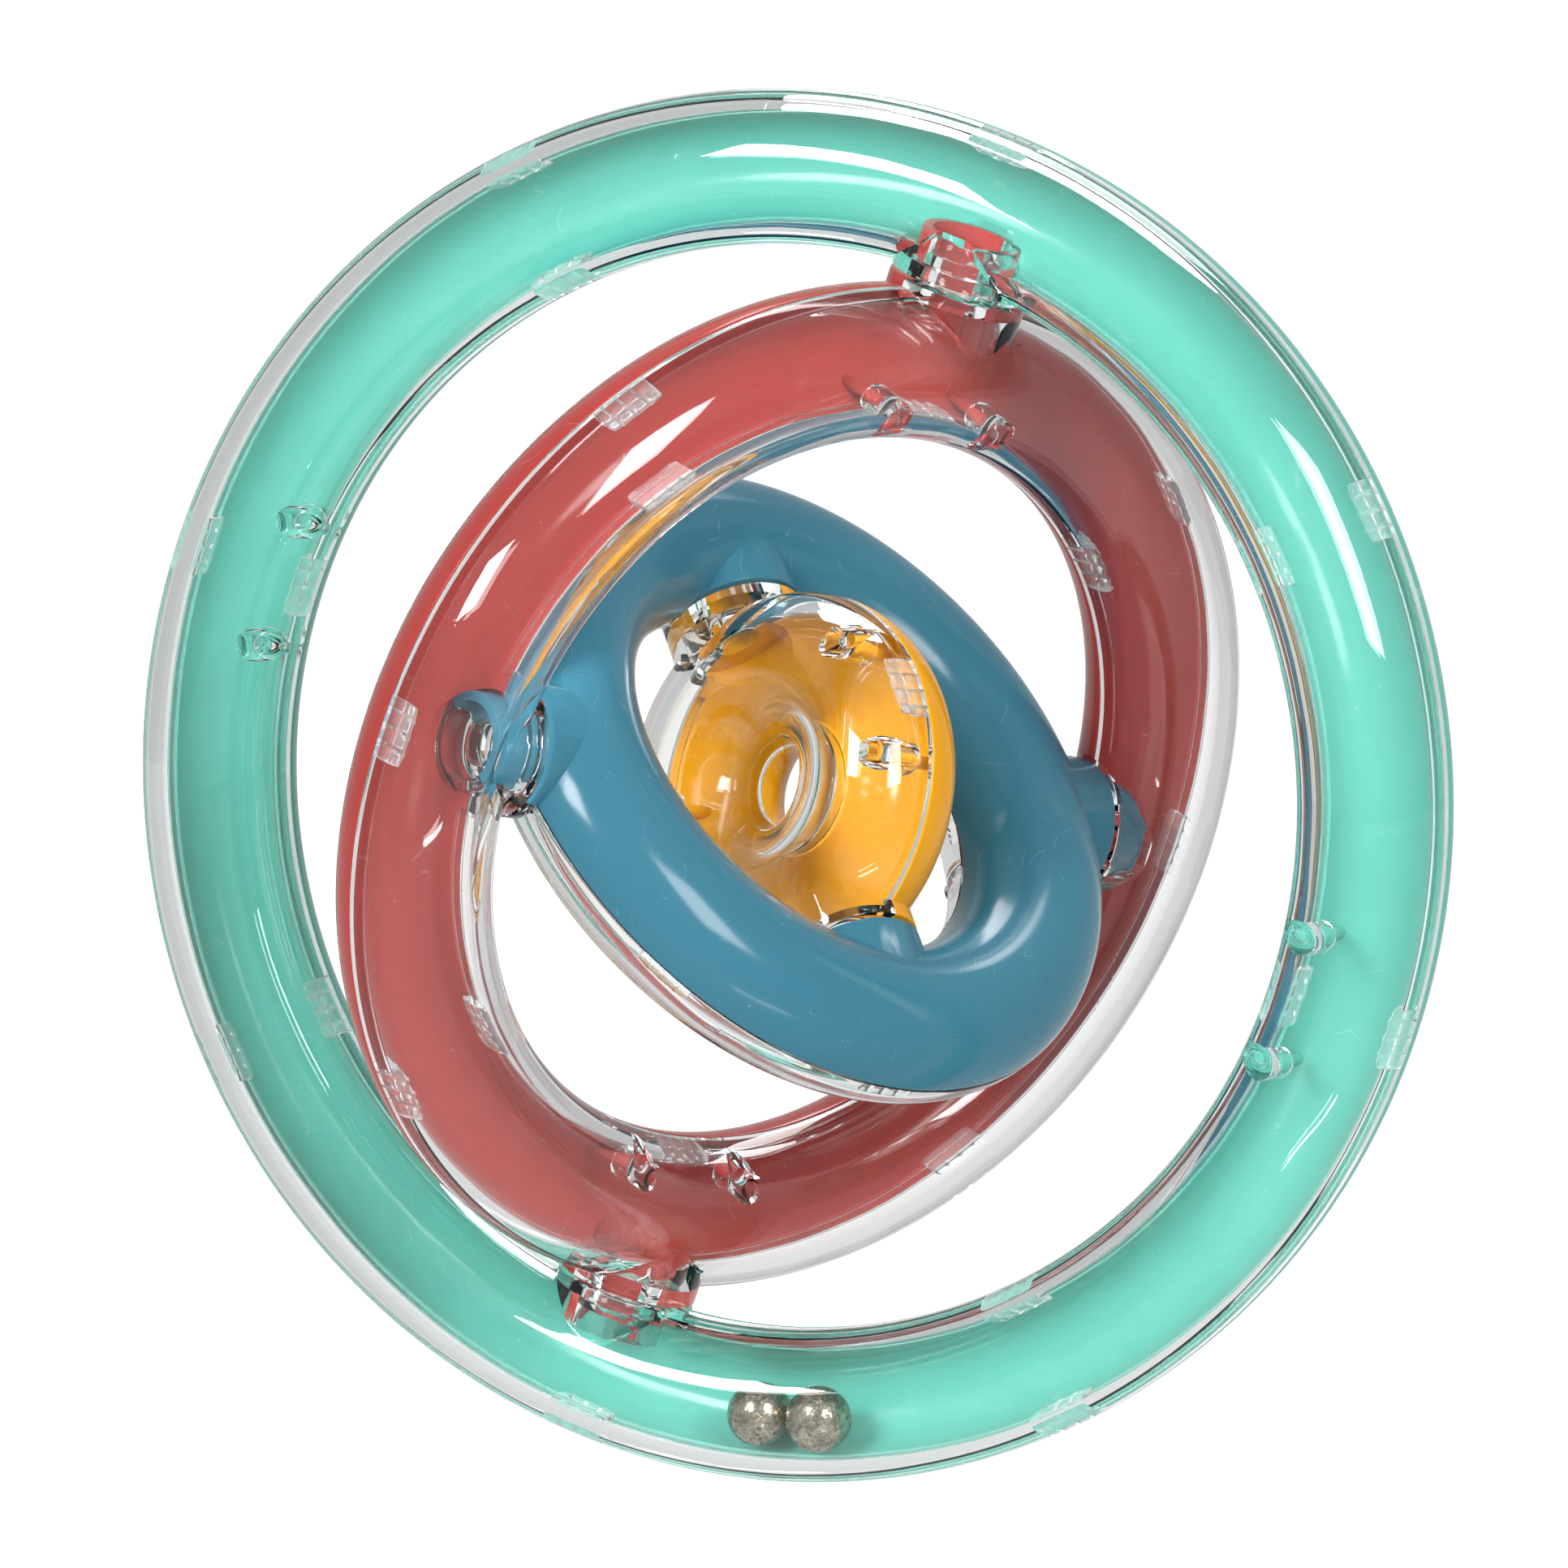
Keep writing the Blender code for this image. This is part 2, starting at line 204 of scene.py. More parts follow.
def turned(profile, steps):
    """Solid of revolution about Z: (height h, radius r) goes to (r cos t, r sin t, h)."""
    profile = np.asarray(profile, float)
    t = np.linspace(0, 2 * math.pi, steps, endpoint=False)
    height, radius = profile[:, :1], profile[:, 1:]
    rows = np.stack([radius * np.cos(t), radius * np.sin(t), height + 0 * t], -1)
    return surface(rows, False)


def swept(outline, radius, steps):
    """A closed (u, v) outline carried round Z: ((R+u) cos t, (R+u) sin t, v)."""
    t = np.linspace(0, 2 * math.pi, steps, endpoint=False)[:, None]
    u, v = outline[:, 0][None], outline[:, 1][None]
    rows = np.stack([(radius + u) * np.cos(t), (radius + u) * np.sin(t), v + 0 * t], -1)
    return surface(rows, True)


def moved(solid, matrix):
    """The solid with its points taken through a 3x4 matrix."""
    points, faces = solid
    return points @ matrix[:, :3].T + matrix[:, 3], faces


def joined(solids):
    """Several solids in one mesh."""
    points, faces, start = [], [], 0
    for some, blocks in solids:
        points.append(some)
        faces += [block + start for block in blocks]
        start += len(some)
    return np.concatenate(points), faces


def both_ends(solid, axis):
    """A solid turned about Z laid along +X or +Y, and its twin on the other side."""
    c = np.zeros((3, 4))
    if axis == "X":
        c[:, :3] = [[0, 0, 1], [0, 1, 0], [-1, 0, 0]]
    else:
        c[:, :3] = [[1, 0, 0], [0, 0, 1], [0, -1, 0]]
    one = moved(solid, c)
    half_turn = np.zeros((3, 4))
    half_turn[:, :3] = np.diag([-1.0, -1.0, 1.0])
    return joined([one, moved(one, half_turn)])


def upright(solid, places):
    """Copies of a solid at (x, y) places."""
    shifted = []
    for x, y in places:
        c = np.eye(4)[:3]
        c[:, 3] = (x, y, 0)
        shifted.append(moved(solid, c))
    return joined(shifted)


# ---------------------------------------------------------------- solids

def solid_object(name, solid):
    """A new object holding a solid, linked to the scene."""
    points, faces = solid[0], outward(*solid)
    mesh = bpy.data.meshes.new(name)
    mesh.from_pydata(points.tolist(), [], [face for block in faces for face in block.tolist()])
    thing = bpy.data.objects.new(name, mesh)
    bpy.context.scene.collection.objects.link(thing)
    return thing


def combined(thing, *steps):
    """The object after joining, cutting or keeping with tools, which are used up."""
    for number, (operation, tool) in enumerate(steps):
        step = thing.modifiers.new("step %d" % number, "BOOLEAN")
        step.operation, step.object, step.solver = operation, tool, "MANIFOLD"
    graph = bpy.context.evaluated_depsgraph_get()
    mesh = bpy.data.meshes.new_from_object(thing.evaluated_get(graph))
    if len(mesh.polygons) == 0:
        raise RuntimeError("%s lost its faces" % thing.name)
    old, thing.data = thing.data, mesh
    thing.modifiers.clear()
    bpy.data.meshes.remove(old)
    for _, tool in steps:
        spent = tool.data
        bpy.data.objects.remove(tool)
        bpy.data.meshes.remove(spent)
    return thing


def textured_faces(sizes, mesh, radius, has_child):
    """Which faces of a ring's shell belong to its tabs: inside the bore, off the sleeves."""
    centres = np.zeros(len(mesh.polygons) * 3)
    mesh.polygons.foreach_get("center", centres)
    x, y, z = centres.reshape(-1, 3).T
    depth = np.hypot(np.hypot(x, y) - radius, z)
    bore = sizes.tube_radius - sizes.wall
    picked = (depth < bore - 0.1 * MM) & (depth > bore - 2 * MM) & (z < sizes.tab_above)
    for across, along in pin_places(sizes, radius, has_child):
        picked &= np.hypot(x - across, y - along) > sizes.sleeve_radius + 0.1 * MM
    return picked


def finished(thing, name, matrix, material, body, node, crease=CREASE):
    """Place a solid in its mesh, shade it, give it its plastic and tie it to the model."""
    mesh = thing.data
    mesh.transform(matrix)
    mesh.shade_smooth()
    mesh.set_sharp_from_angle(angle=math.radians(crease))
    mesh.materials.clear()
    mesh.materials.append(material)
    thing.name, mesh.name = name, name
    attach(thing, body)
    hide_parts(node)
    return thing


def arc(radius, start, end, count):
    """Points (r cos a, r sin a) from one angle to another."""
    a = np.linspace(start, end, count)
    return np.stack([radius * np.cos(a), radius * np.sin(a)], -1)


def shell_outline(sizes, side):
    """Half a tube's wall as a (u, v) outline: two arcs joined by a stepped seam.

    On the clear side a tongue dips past the seam; on the coloured side a rebate takes it.
    """
    r, b, half = sizes.tube_radius, sizes.tube_radius - sizes.wall, sizes.seam / 2
    tongue, dip = b + sizes.tongue_width, sizes.tongue_depth
    if side > 0:
        lift = math.asin(half / r)
        left = [(-tongue, half), (-tongue, -dip), (-b, -dip)]
        right = [(b, -dip), (tongue, -dip), (tongue, half)]
        outline = np.concatenate([arc(r, lift, math.pi - lift, 49), left,
                                  arc(b, math.pi, 0, 37), right])
    else:
        lift, back, floor = math.asin(half / r), tongue + sizes.seam, dip + sizes.seam
        inner = math.asin(floor / b)
        left = [(-back, -half), (-back, -floor)]
        right = [(back, -floor), (back, -half)]
        outline = np.concatenate([arc(r, -lift, lift - math.pi, 49), left,
                                  arc(b, inner - math.pi, -inner, 33), right])
    return rounded(outline, sizes.edge)


def half_space(sizes, side, radius):
    """A slab that fills one side of the seam plane out to a radius."""
    edge = side * sizes.seam / 2
    return turned([(edge, 0), (edge, radius), (side * radius, radius), (side * radius, 0)][
        ::side], 48)


def boss_profile(sizes, root, top):
    """Collar about a pivot: an upright wall with a rounded rim, from its root to its seat."""
    r, e = sizes.boss_radius, sizes.edge
    rise = abs(top - root)
    out = math.copysign(1, top - root)
    t = np.linspace(0, math.pi / 2, 5)
    rim = [(root + out * (rise - e + e * math.sin(a)), r - e + e * math.cos(a)) for a in t]
    return [(root, 0.0), (root, r)] + rim + [(top, 0.0)]


def trunnion_profile(sizes, radius, gap):
    """Boss, neck and flange beyond a ring's outer skin, with eased edges."""
    skin = radius + sizes.tube_radius
    root = radius + math.sqrt(sizes.tube_radius ** 2 - sizes.boss_radius ** 2) - 0.4 * MM
    seat, flange = skin + sizes.boss_rise, skin + gap + sizes.lip + sizes.fit
    end, e = flange + sizes.flange_depth, sizes.edge
    neck, wide, boss = sizes.neck_radius, sizes.flange_radius, sizes.boss_radius
    return [
        (root, 0.0), (root, boss), (seat - e, boss), (seat - 0.3 * e, boss - 0.3 * e),
        (seat, boss - e), (seat, neck + e), (seat + 0.3 * e, neck + 0.3 * e), (seat + e, neck),
        (flange - e, neck), (flange - 0.3 * e, neck + 0.3 * e), (flange, neck + e),
        (flange, wide - e), (flange + 0.3 * e, wide - 0.3 * e), (flange + e, wide),
        (end - e, wide), (end - 0.3 * e, wide - 0.3 * e), (end, wide - e), (end, 0.0),
    ]


def trunnion_hollow(sizes, radius, gap):
    """The passage through a trunnion: wide in the root, narrow in the neck, cupped flange."""
    skin = radius + sizes.tube_radius
    flange = skin + gap + sizes.lip + sizes.fit
    end = flange + sizes.flange_depth
    plate, floor = skin - 1.2 * MM, flange + 1.0 * MM
    cup = sizes.flange_radius - sizes.flange_wall
    return [(radius, 0.0), (radius, sizes.boss_hollow), (plate, sizes.boss_hollow),
            (plate, sizes.neck_hollow), (floor, sizes.neck_hollow), (floor, cup),
            (end + MM, cup + 0.15 * MM), (end + MM, 0.0)]


def socket_profile(sizes, radius):
    """The cut for a child's trunnion: faced seat, neck hole and pocket."""
    skin = radius - sizes.tube_radius
    hole, pocket = sizes.neck_radius + sizes.fit, sizes.flange_radius + 0.3 * MM
    floor = skin + sizes.lip
    back = floor + sizes.flange_depth + 0.9 * MM
    start, face, e = skin - 3 * MM, skin - sizes.boss_rise, sizes.edge
    return [(start, 0.0), (start, sizes.boss_radius + 0.3 * MM),
            (face, sizes.boss_radius + 0.3 * MM), (face, hole + e),
            (face + 0.3 * e, hole + 0.3 * e), (face + e, hole), (floor, hole),
            (floor, pocket), (back, pocket), (back, 0.0)]


def tab_solid(sizes, radius, side):
    """A ribbed snap tab, long way round the ring.

    Its sections shrink at both ends as (1 - |s|^8)^(1/8).  Across a section its inner face
    lies the rise inside the bore, with a lengthwise ridge and three cross ribs, and its outer
    face sinks into the clear wall and hugs the bore below the seam.
    """
    bore = sizes.tube_radius - sizes.wall
    s = np.sin(np.linspace(-math.pi / 2, math.pi / 2, 65))[1:-1, None]
    shrink = (1 - np.abs(s) ** 8) ** (1 / 8)
    middle, half = (sizes.tab_above - sizes.tab_below) / 2, (sizes.tab_above + sizes.tab_below) / 2
    k = np.linspace(0, 1, 25)
    v_in = middle + half * np.sin((k - 0.5) * math.pi)[None] * shrink
    v_out = v_in[:, ::-1]
    across = (v_in - middle) / half
    rib = sum(np.exp(-((s - c) / 0.07) ** 2) for c in (-0.55, 0.0, 0.55))
    ridge = np.exp(-(across / 0.16) ** 2)
    face = 1 - np.abs(across) ** 6 * 0.5
    deep = sizes.tab_rise * (0.72 + 0.16 * rib + 0.12 * ridge) * face * (0.25 + 0.75 * shrink)
    u_in = bore - deep
    hug = np.sqrt(np.maximum((bore - 0.06 * MM) ** 2 - v_out ** 2, 0))
    blend = np.clip((v_out + sizes.tongue_depth) / (0.3 * MM), 0, 1)
    u_out = hug * (1 - blend) + (bore + 0.4 * MM) * blend
    u = np.concatenate([u_in, u_out], 1)
    v = np.concatenate([v_in, v_out], 1)
    along = np.repeat(s * sizes.tab_length / 2, u.shape[1], 1)
    return surface(np.stack([radius + side * u, along, v], -1), False)


def around(solid, angles):
    """Copies of a solid turned about Z to each angle."""
    copies = []
    for angle in angles:
        c = np.zeros((3, 4))
        c[:2, :2] = [[math.cos(angle), -math.sin(angle)], [math.sin(angle), math.cos(angle)]]
        c[2, 2] = 1.0
        copies.append(moved(solid, c))
    return copies


def tab_angles(radius, tube, has_child, has_parent, side):
    """Every eighth of a turn, but not at a pivot; a disc has tabs on its free axis only."""
    angles = np.arange(8) * math.pi / 4
    on_x, on_y = np.abs(np.sin(angles)) < 0.01, np.abs(np.cos(angles)) < 0.01
    if radius < 2 * tube:
        return angles[on_y] if side > 0 else angles[:0]
    return angles[~on_x | (not has_parent)] if side > 0 else angles[~on_y | (not has_child)]


def pin_places(sizes, radius, has_child):
    """Centres of the locating pins, a pair beside the tab on each free quarter."""
    side = -1 if has_child else 1
    across = radius + side * (sizes.tube_radius - sizes.wall - sizes.pin_inset)
    turn = sizes.pin_offset / across
    base = 0.0 if has_child else math.pi / 2
    angles = [base + half + offset for half in (0, math.pi) for offset in (turn, -turn)]
    return [(across * math.cos(a), across * math.sin(a)) for a in angles]


def stud(bottom, top, radius, ease):
    """Profile of a round pin with an eased top."""
    return [(bottom, 0.0), (bottom, radius), (top - ease, radius),
            (top - 0.3 * ease, radius - 0.3 * ease), (top, radius - ease), (top, 0.0)]


def shell(sizes, name, radius, gap, has_child, side, steps):
    """One shell of a ring with its collars, trunnions, tabs or pins, in the ring's frame."""
    thing = solid_object(name, swept(shell_outline(sizes, side), radius, steps))
    bore_radius = sizes.tube_radius - sizes.wall
    extras, cuts = [], []

    def bore():
        """The tube's hollow, as a cutting tool."""
        return solid_object("bore", swept(arc(bore_radius, 0, 2 * math.pi, 65)[:-1], radius, steps))

    def slab():
        """This shell's side of the seam plane, as a keeping tool."""
        return solid_object("slab", half_space(sizes, side, radius + 4 * sizes.tube_radius))

    if gap:
        stub = solid_object("trunnions", both_ends(
            turned(trunnion_profile(sizes, radius, gap), 96), "X"))
        extras.append(combined(stub, ("DIFFERENCE", bore()), ("INTERSECT", slab())))
        cuts.append(solid_object("passages", both_ends(
            turned(trunnion_hollow(sizes, radius, gap), 96), "X")))
    if has_child:
        skin = radius - sizes.tube_radius
        root = radius - math.sqrt(sizes.tube_radius ** 2 - sizes.boss_radius ** 2) + 0.4 * MM
        collar = solid_object("collars", both_ends(
            turned(boss_profile(sizes, root, skin - sizes.boss_rise)[::-1], 96), "Y"))
        extras.append(combined(collar, ("DIFFERENCE", bore()), ("INTERSECT", slab())))
        cuts.append(solid_object("sockets", both_ends(
            turned(socket_profile(sizes, radius), 96), "Y")))
    places = pin_places(sizes, radius, has_child)
    offset = bore_radius - sizes.pin_inset
    reach = math.sqrt(sizes.tube_radius ** 2 - offset ** 2) - sizes.wall / 2
    if side > 0:
        tabs = []
        for face in (1, -1):
            tabs += around(tab_solid(sizes, radius, face),
                           tab_angles(radius, sizes.tube_radius, has_child, bool(gap), face))
        extras.append(solid_object("tabs", joined([(p, outward(p, f)) for p, f in tabs])))
        sleeve = turned([(0.3 * MM, 0.0), (0.3 * MM, sizes.sleeve_radius - 0.2 * MM),
                         (0.5 * MM, sizes.sleeve_radius), (reach, sizes.sleeve_radius),
                         (reach, 0.0)], 40)
        extras.append(solid_object("sleeves", upright(sleeve, places)))
        cuts.append(solid_object("sleeve hollows", upright(
            turned(stud(-MM, 2.7 * MM, sizes.sleeve_hollow, 0.2 * MM), 32), places)))
    else:
        extras.append(solid_object("pins", upright(
            turned(stud(-reach, 1.8 * MM, sizes.pin_radius, 0.25 * MM), 32), places)))
    return combined(thing, *[("UNION", extra) for extra in extras],
                    *[("DIFFERENCE", cut) for cut in cuts])


# ---------------------------------------------------------------- shader groups

def new_group(name, inputs, outputs):
    """An empty shader node group with named sockets."""
    group = bpy.data.node_groups.new(name, "ShaderNodeTree")
    for direction, sockets in (("INPUT", inputs), ("OUTPUT", outputs)):
        for label, kind, value in sockets:
            socket = group.interface.new_socket(name=label, in_out=direction,
                                                socket_type="NodeSocket" + kind)
            if value is not None:
                socket.default_value = value
    return group


class Tree:
    """Short ways to add and wire nodes."""

    def __init__(self, tree):
        self.tree = tree

    def add(self, kind, **settings):
        """A new node with the given properties."""
        node = self.tree.nodes.new("ShaderNode" + kind)
        for key, value in settings.items():
            setattr(node, key, value)
        return node

    def put(self, node, **values):
        """Set or link inputs by name, spaces written as underscores, or by number as i0, i1."""
        for key, value in values.items():
            numbered = key[0] == "i" and key[1:].isdigit()
            self.feed(node.inputs[int(key[1:]) if numbered else key.replace("_", " ")], value)
        return node

    def feed(self, socket, value):
        """Link a socket to another, or set its value."""
        if isinstance(value, bpy.types.NodeSocket):
            self.tree.links.new(value, socket)
        else:
            socket.default_value = value

    def math(self, operation, first, second=0.0, clamp=False):
        """A Math node's value."""
        node = self.add("Math", operation=operation, use_clamp=clamp)
        return self.put(node, i0=first, i1=second).outputs[0]

    def blend(self, factor, first, second):
        """A colour between two colours."""
        node = self.add("Mix", data_type="RGBA")
        return self.put(node, i0=factor, i6=first, i7=second).outputs[2]

    def scaled(self, vector, factor):
        """A vector times a number or a vector."""
        node = self.add("Mapping")
        factors = (factor,) * 3 if isinstance(factor, (int, float)) else factor
        return self.put(node, Vector=vector, Scale=factors).outputs[0]

    def noise(self, vector, scale, detail=2.0, rough=0.5, distortion=0.0):
        """Perlin noise between 0 and 1."""
        node = self.add("TexNoise")
        return self.put(node, Vector=vector, Scale=scale, Detail=detail, Roughness=rough,
                        Distortion=distortion).outputs[0]

    def mixed(self, factor, first, second):
        """A number between two numbers."""
        return self.put(self.add("Mix"), i0=factor, i2=first, i3=second).outputs[0]

    def ramp(self, value, low, high, out_low=0.0, out_high=1.0):
        """Value mapped linearly from one range to another and clamped."""
        node = self.add("MapRange")
        return self.put(node, Value=value, i1=low, i2=high, i3=out_low, i4=out_high).outputs[0]

    def ends(self):
        """A group's input and output nodes."""
        return self.tree.nodes.new("NodeGroupInput"), self.tree.nodes.new("NodeGroupOutput")


def wear_group():
    """Hairline scratches, dust and slow ripples of a handled, glossy moulding.

    A scratch is where a stretched noise crosses its middle value, broken up by a second
    noise.  Dust is a small dot in a few of the cells of a Voronoi pattern.
    """
    group = new_group("surface wear", [
        ("Vector", "Vector", None), ("Scratches", "Float", 1.0), ("Dust", "Float", 1.0),
        ("Ripple", "Float", 1.0)], [
        ("Roughness", "Float", None), ("Height", "Float", None), ("Mask", "Float", None)])
    t = Tree(group)
    given, result = t.ends()
    place = t.scaled(given.outputs["Vector"], 1000.0)
    lines = None
    for turn, stretch, seed in ((0.5, (0.05, 0.9, 0.5), 3.1), (1.9, (0.7, 0.06, 0.4), 7.7),
                                (3.3, (0.3, 0.8, 0.05), 12.3)):
        node = t.add("Mapping")
        t.put(node, Vector=place, Rotation=(turn, turn * 0.7, seed), Scale=stretch,
              Location=(seed, seed * 2, -seed))
        wave = t.noise(node.outputs[0], 0.55, 1.0, 0.4)
        near = t.math("ABSOLUTE", t.math("SUBTRACT", wave, 0.5))
        line = t.ramp(near, 0.0, 0.006, 1.0, 0.0)
        gate = t.ramp(t.noise(node.outputs[0], 0.9, 2.0), 0.6, 0.66)
        line = t.math("MULTIPLY", line, gate)
        lines = line if lines is None else t.math("MAXIMUM", lines, line)
    lines = t.math("MULTIPLY", lines, given.outputs["Scratches"])
    cells = t.add("TexVoronoi")
    t.put(cells, Vector=place, Scale=0.45)
    pick = t.add("SeparateColor")
    t.tree.links.new(cells.outputs["Color"], pick.inputs[0])
    dot = t.ramp(cells.outputs["Distance"], 0.03, 0.09, 1.0, 0.0)
    dot = t.math("MULTIPLY", dot, t.math("GREATER_THAN", pick.outputs[0], 0.9))
    dot = t.math("MULTIPLY", dot, given.outputs["Dust"])
    smear = t.noise(place, 0.12, 3.0, 0.6)
    ripple = t.math("MULTIPLY", t.noise(place, 0.10, 1.0, 0.3), given.outputs["Ripple"])
    mask = t.math("MAXIMUM", lines, dot, clamp=True)
    rough = t.math("ADD", t.ramp(smear, 0.35, 0.75, 0.0, 0.05), t.math("MULTIPLY", mask, 0.22))
    height = t.math("ADD", t.math("MULTIPLY", ripple, 1.0),
                    t.math("SUBTRACT", t.math("MULTIPLY", dot, 0.02),
                           t.math("MULTIPLY", lines, 0.012)))
    t.put(result, Roughness=rough, Height=height, Mask=mask)
    return group


def melt_group():
    """Slow streaks of tone that moulded colour keeps from its flow."""
    group = new_group("moulded colour", [
        ("Vector", "Vector", None), ("Color", "Color", (0.5, 0.5, 0.5, 1.0)),
        ("Variation", "Float", 0.1)], [("Color", "Color", None)])
    t = Tree(group)
    given, result = t.ends()
    place = t.scaled(given.outputs["Vector"], 1000.0)
    slow = t.noise(place, 0.035, 2.0, 0.5, 0.6)
    fine = t.noise(place, 1.4, 2.0, 0.5)
    mixed = t.math("ADD", t.math("MULTIPLY", slow, 0.8), t.math("MULTIPLY", fine, 0.2))
    shift = t.math("MULTIPLY", t.math("SUBTRACT", mixed, 0.5), given.outputs["Variation"])
    node = t.add("HueSaturation")
    t.put(node, Color=given.outputs["Color"], Value=t.math("ADD", 1.0, shift),
          Saturation=t.math("SUBTRACT", 1.0, t.math("MULTIPLY", shift, 0.5)))
    t.tree.links.new(node.outputs[0], result.inputs["Color"])
    return group


def group_of(name, maker):
    """The shader group of that name, made on first use."""
    return bpy.data.node_groups.get(name) or maker()


def start_material(name):
    """A new material: its tree helper, Principled shader and Object coordinates."""
    material = bpy.data.materials.new(name)
    material.use_nodes = True
    t = Tree(material.node_tree)
    shader = material.node_tree.nodes["Principled BSDF"]
    vector = t.add("TexCoord").outputs["Object"]
    return material, t, shader, vector


def placed_group(t, name, maker, vector, **values):
    """A group node in a material, fed with the coordinates."""
    node = t.tree.nodes.new("ShaderNodeGroup")
    node.node_tree = group_of(name, maker)
    return t.put(node, Vector=vector, **values)


def coloured_plastic(name, tint):
    """Opaque glossy plastic with flow tone, hairlines and dust."""
    if name in bpy.data.materials:
        return bpy.data.materials[name]
    material, t, shader, vector = start_material(name)
    tone = placed_group(t, "moulded colour", melt_group, vector, Color=(*tint, 1.0), Variation=0.16)
    wear = placed_group(t, "surface wear", wear_group, vector, Scratches=0.25, Dust=0.3, Ripple=0.3)
    bump = t.put(t.add("Bump"), Height=wear.outputs["Height"], Strength=0.25, Distance=0.0004)
    colour_out = t.blend(t.math("MULTIPLY", wear.outputs["Mask"], 0.35), tone.outputs[0],
                         (0.9, 0.9, 0.88, 1.0))
    t.put(shader, Base_Color=colour_out, Roughness=t.math("ADD", wear.outputs[0], 0.13),
          Normal=bump.outputs[0], IOR=1.5, Specular_IOR_Level=0.22)
    return material


def clear_plastic(name, tint, clearness, roughness):
    """Scratched clear plastic that refracts and lets light through to what it covers."""
    if name in bpy.data.materials:
        return bpy.data.materials[name]
    material, t, shader, vector = start_material(name)
    wear = placed_group(t, "surface wear", wear_group, vector, Scratches=0.6, Dust=0.5, Ripple=1.0)
    bump = t.put(t.add("Bump"), Height=wear.outputs["Height"], Strength=0.35, Distance=0.0004)
    t.put(shader, Base_Color=(*tint, 1.0), Normal=bump.outputs[0], IOR=1.46,
          Roughness=t.math("ADD", t.math("MULTIPLY", wear.outputs[0], 0.6), roughness),
          Transmission_Weight=clearness)
    path, through = t.add("LightPath"), t.add("BsdfTransparent")
    t.put(through, Color=(0.93, 0.94, 0.94, 1.0))
    mix = t.add("MixShader")
    links = material.node_tree.links
    links.new(path.outputs["Is Shadow Ray"], mix.inputs[0])
    links.new(shader.outputs[0], mix.inputs[1])
    links.new(through.outputs[0], mix.inputs[2])
    links.new(mix.outputs[0], material.node_tree.nodes["Material Output"].inputs["Surface"])
    return material


def ball_steel(tint):
    """Tumbled steel: bright metal with dark pits and a grey-brown bloom."""
    name = "ball steel"
    if name in bpy.data.materials:
        return bpy.data.materials[name]
    material, t, shader, vector = start_material(name)
    place = t.scaled(vector, 1000.0)
    bloom = t.ramp(t.noise(place, 1.1, 4.0, 0.65), 0.38, 0.62)
    pits = t.ramp(t.noise(place, 3.4, 3.0, 0.7), 0.55, 0.61)
    face = t.blend(bloom, (*tint, 1.0), tuple(c * 0.38 for c in tint) + (1.0,))
    face = t.blend(t.math("MULTIPLY", pits, 0.8), face, (0.05, 0.045, 0.04, 1.0))
    height = t.math("SUBTRACT", t.math("MULTIPLY", bloom, 0.3), pits)
    bump = t.put(t.add("Bump"), Height=height, Strength=0.3, Distance=0.0002)
    t.put(shader, Base_Color=face, Metallic=1.0, Normal=bump.outputs[0],
          Roughness=t.math("ADD", t.math("MULTIPLY", bloom, 0.12),
                           t.math("ADD", 0.1, t.math("MULTIPLY", pits, 0.3))))
    return material


# ---------------------------------------------------------------- placing rings

def shell_normal(name):
    """Unit vector from a ring's coloured node to its clear node."""
    centres = []
    for kind in ("_clear_shell", "_colour_shell"):
        mesh = frame["nodes"][name + kind].data
        points = np.zeros(len(mesh.vertices) * 3)
        mesh.vertices.foreach_get("co", points)
        centres.append(points.reshape(-1, 3).mean(0))
    normal = centres[0] - centres[1]
    return normal / np.linalg.norm(normal)


def ring_matrix(own_axis, child_axis, normal):
    """Local frame of a ring from its trunnion axis, its socket axis or its clear side."""
    if own_axis is None:
        x = np.cross(child_axis, normal)
        y = child_axis
    elif child_axis is None:
        x, y = own_axis, np.cross(normal, own_axis)
    else:
        x, y = own_axis, child_axis
    z = np.cross(x, y)
    turned_frame = np.stack([v / np.linalg.norm(v) for v in (x, y, z)], 1)
    return Matrix(turned_frame.tolist()).to_4x4()


def ring_radii(sizes):
    """Centre-line radius of every ring and the gap outside it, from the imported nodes' boxes."""
    low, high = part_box("outer_ring_colour_shell")
    outer = (high.x - low.x) / 2 - sizes.tube_radius
    step = 2 * sizes.tube_radius
    radii = [outer]
    for gap in GAPS:
        radii.append(radii[-1] - step - gap)
    return dict(zip(RINGS, zip(radii, (0.0,) + GAPS)))


def build_ring(context, name, child, colour_name, tint, share):
    """Both shells of a ring, in place."""
    scene = context.scene
    sizes, colours = scene.rattle_sizes, scene.rattle_colours
    radius, gap = ring_radii(sizes)[name]
    matrix = ring_matrix(AXES.get(name), AXES.get(child), shell_normal(name))
    steps = int(sizes.steps * share)
    for side, kind, material, slot in (
            (-1, "colour", coloured_plastic(colour_name.replace("_", " "), tint), colour_name),
            (1, "clear", clear_plastic("clear plastic", colours.clear, 1.0, 0.0),
             "clear_plastic")):
        piece = "%s_%s_shell" % (name, kind)
        made = shell(sizes, piece, radius, gap, child is not None, side, steps)
        textured = textured_faces(sizes, made.data, radius, child is not None)
        finished(made, "%s_%s_moulding" % (name, kind), matrix, material, name, piece)
        if side > 0:
            made.data.materials.append(
                clear_plastic("textured clear plastic", colours.clear, 0.82, 0.1))
            made.data.polygons.foreach_set("material_index", textured.astype(np.int32))


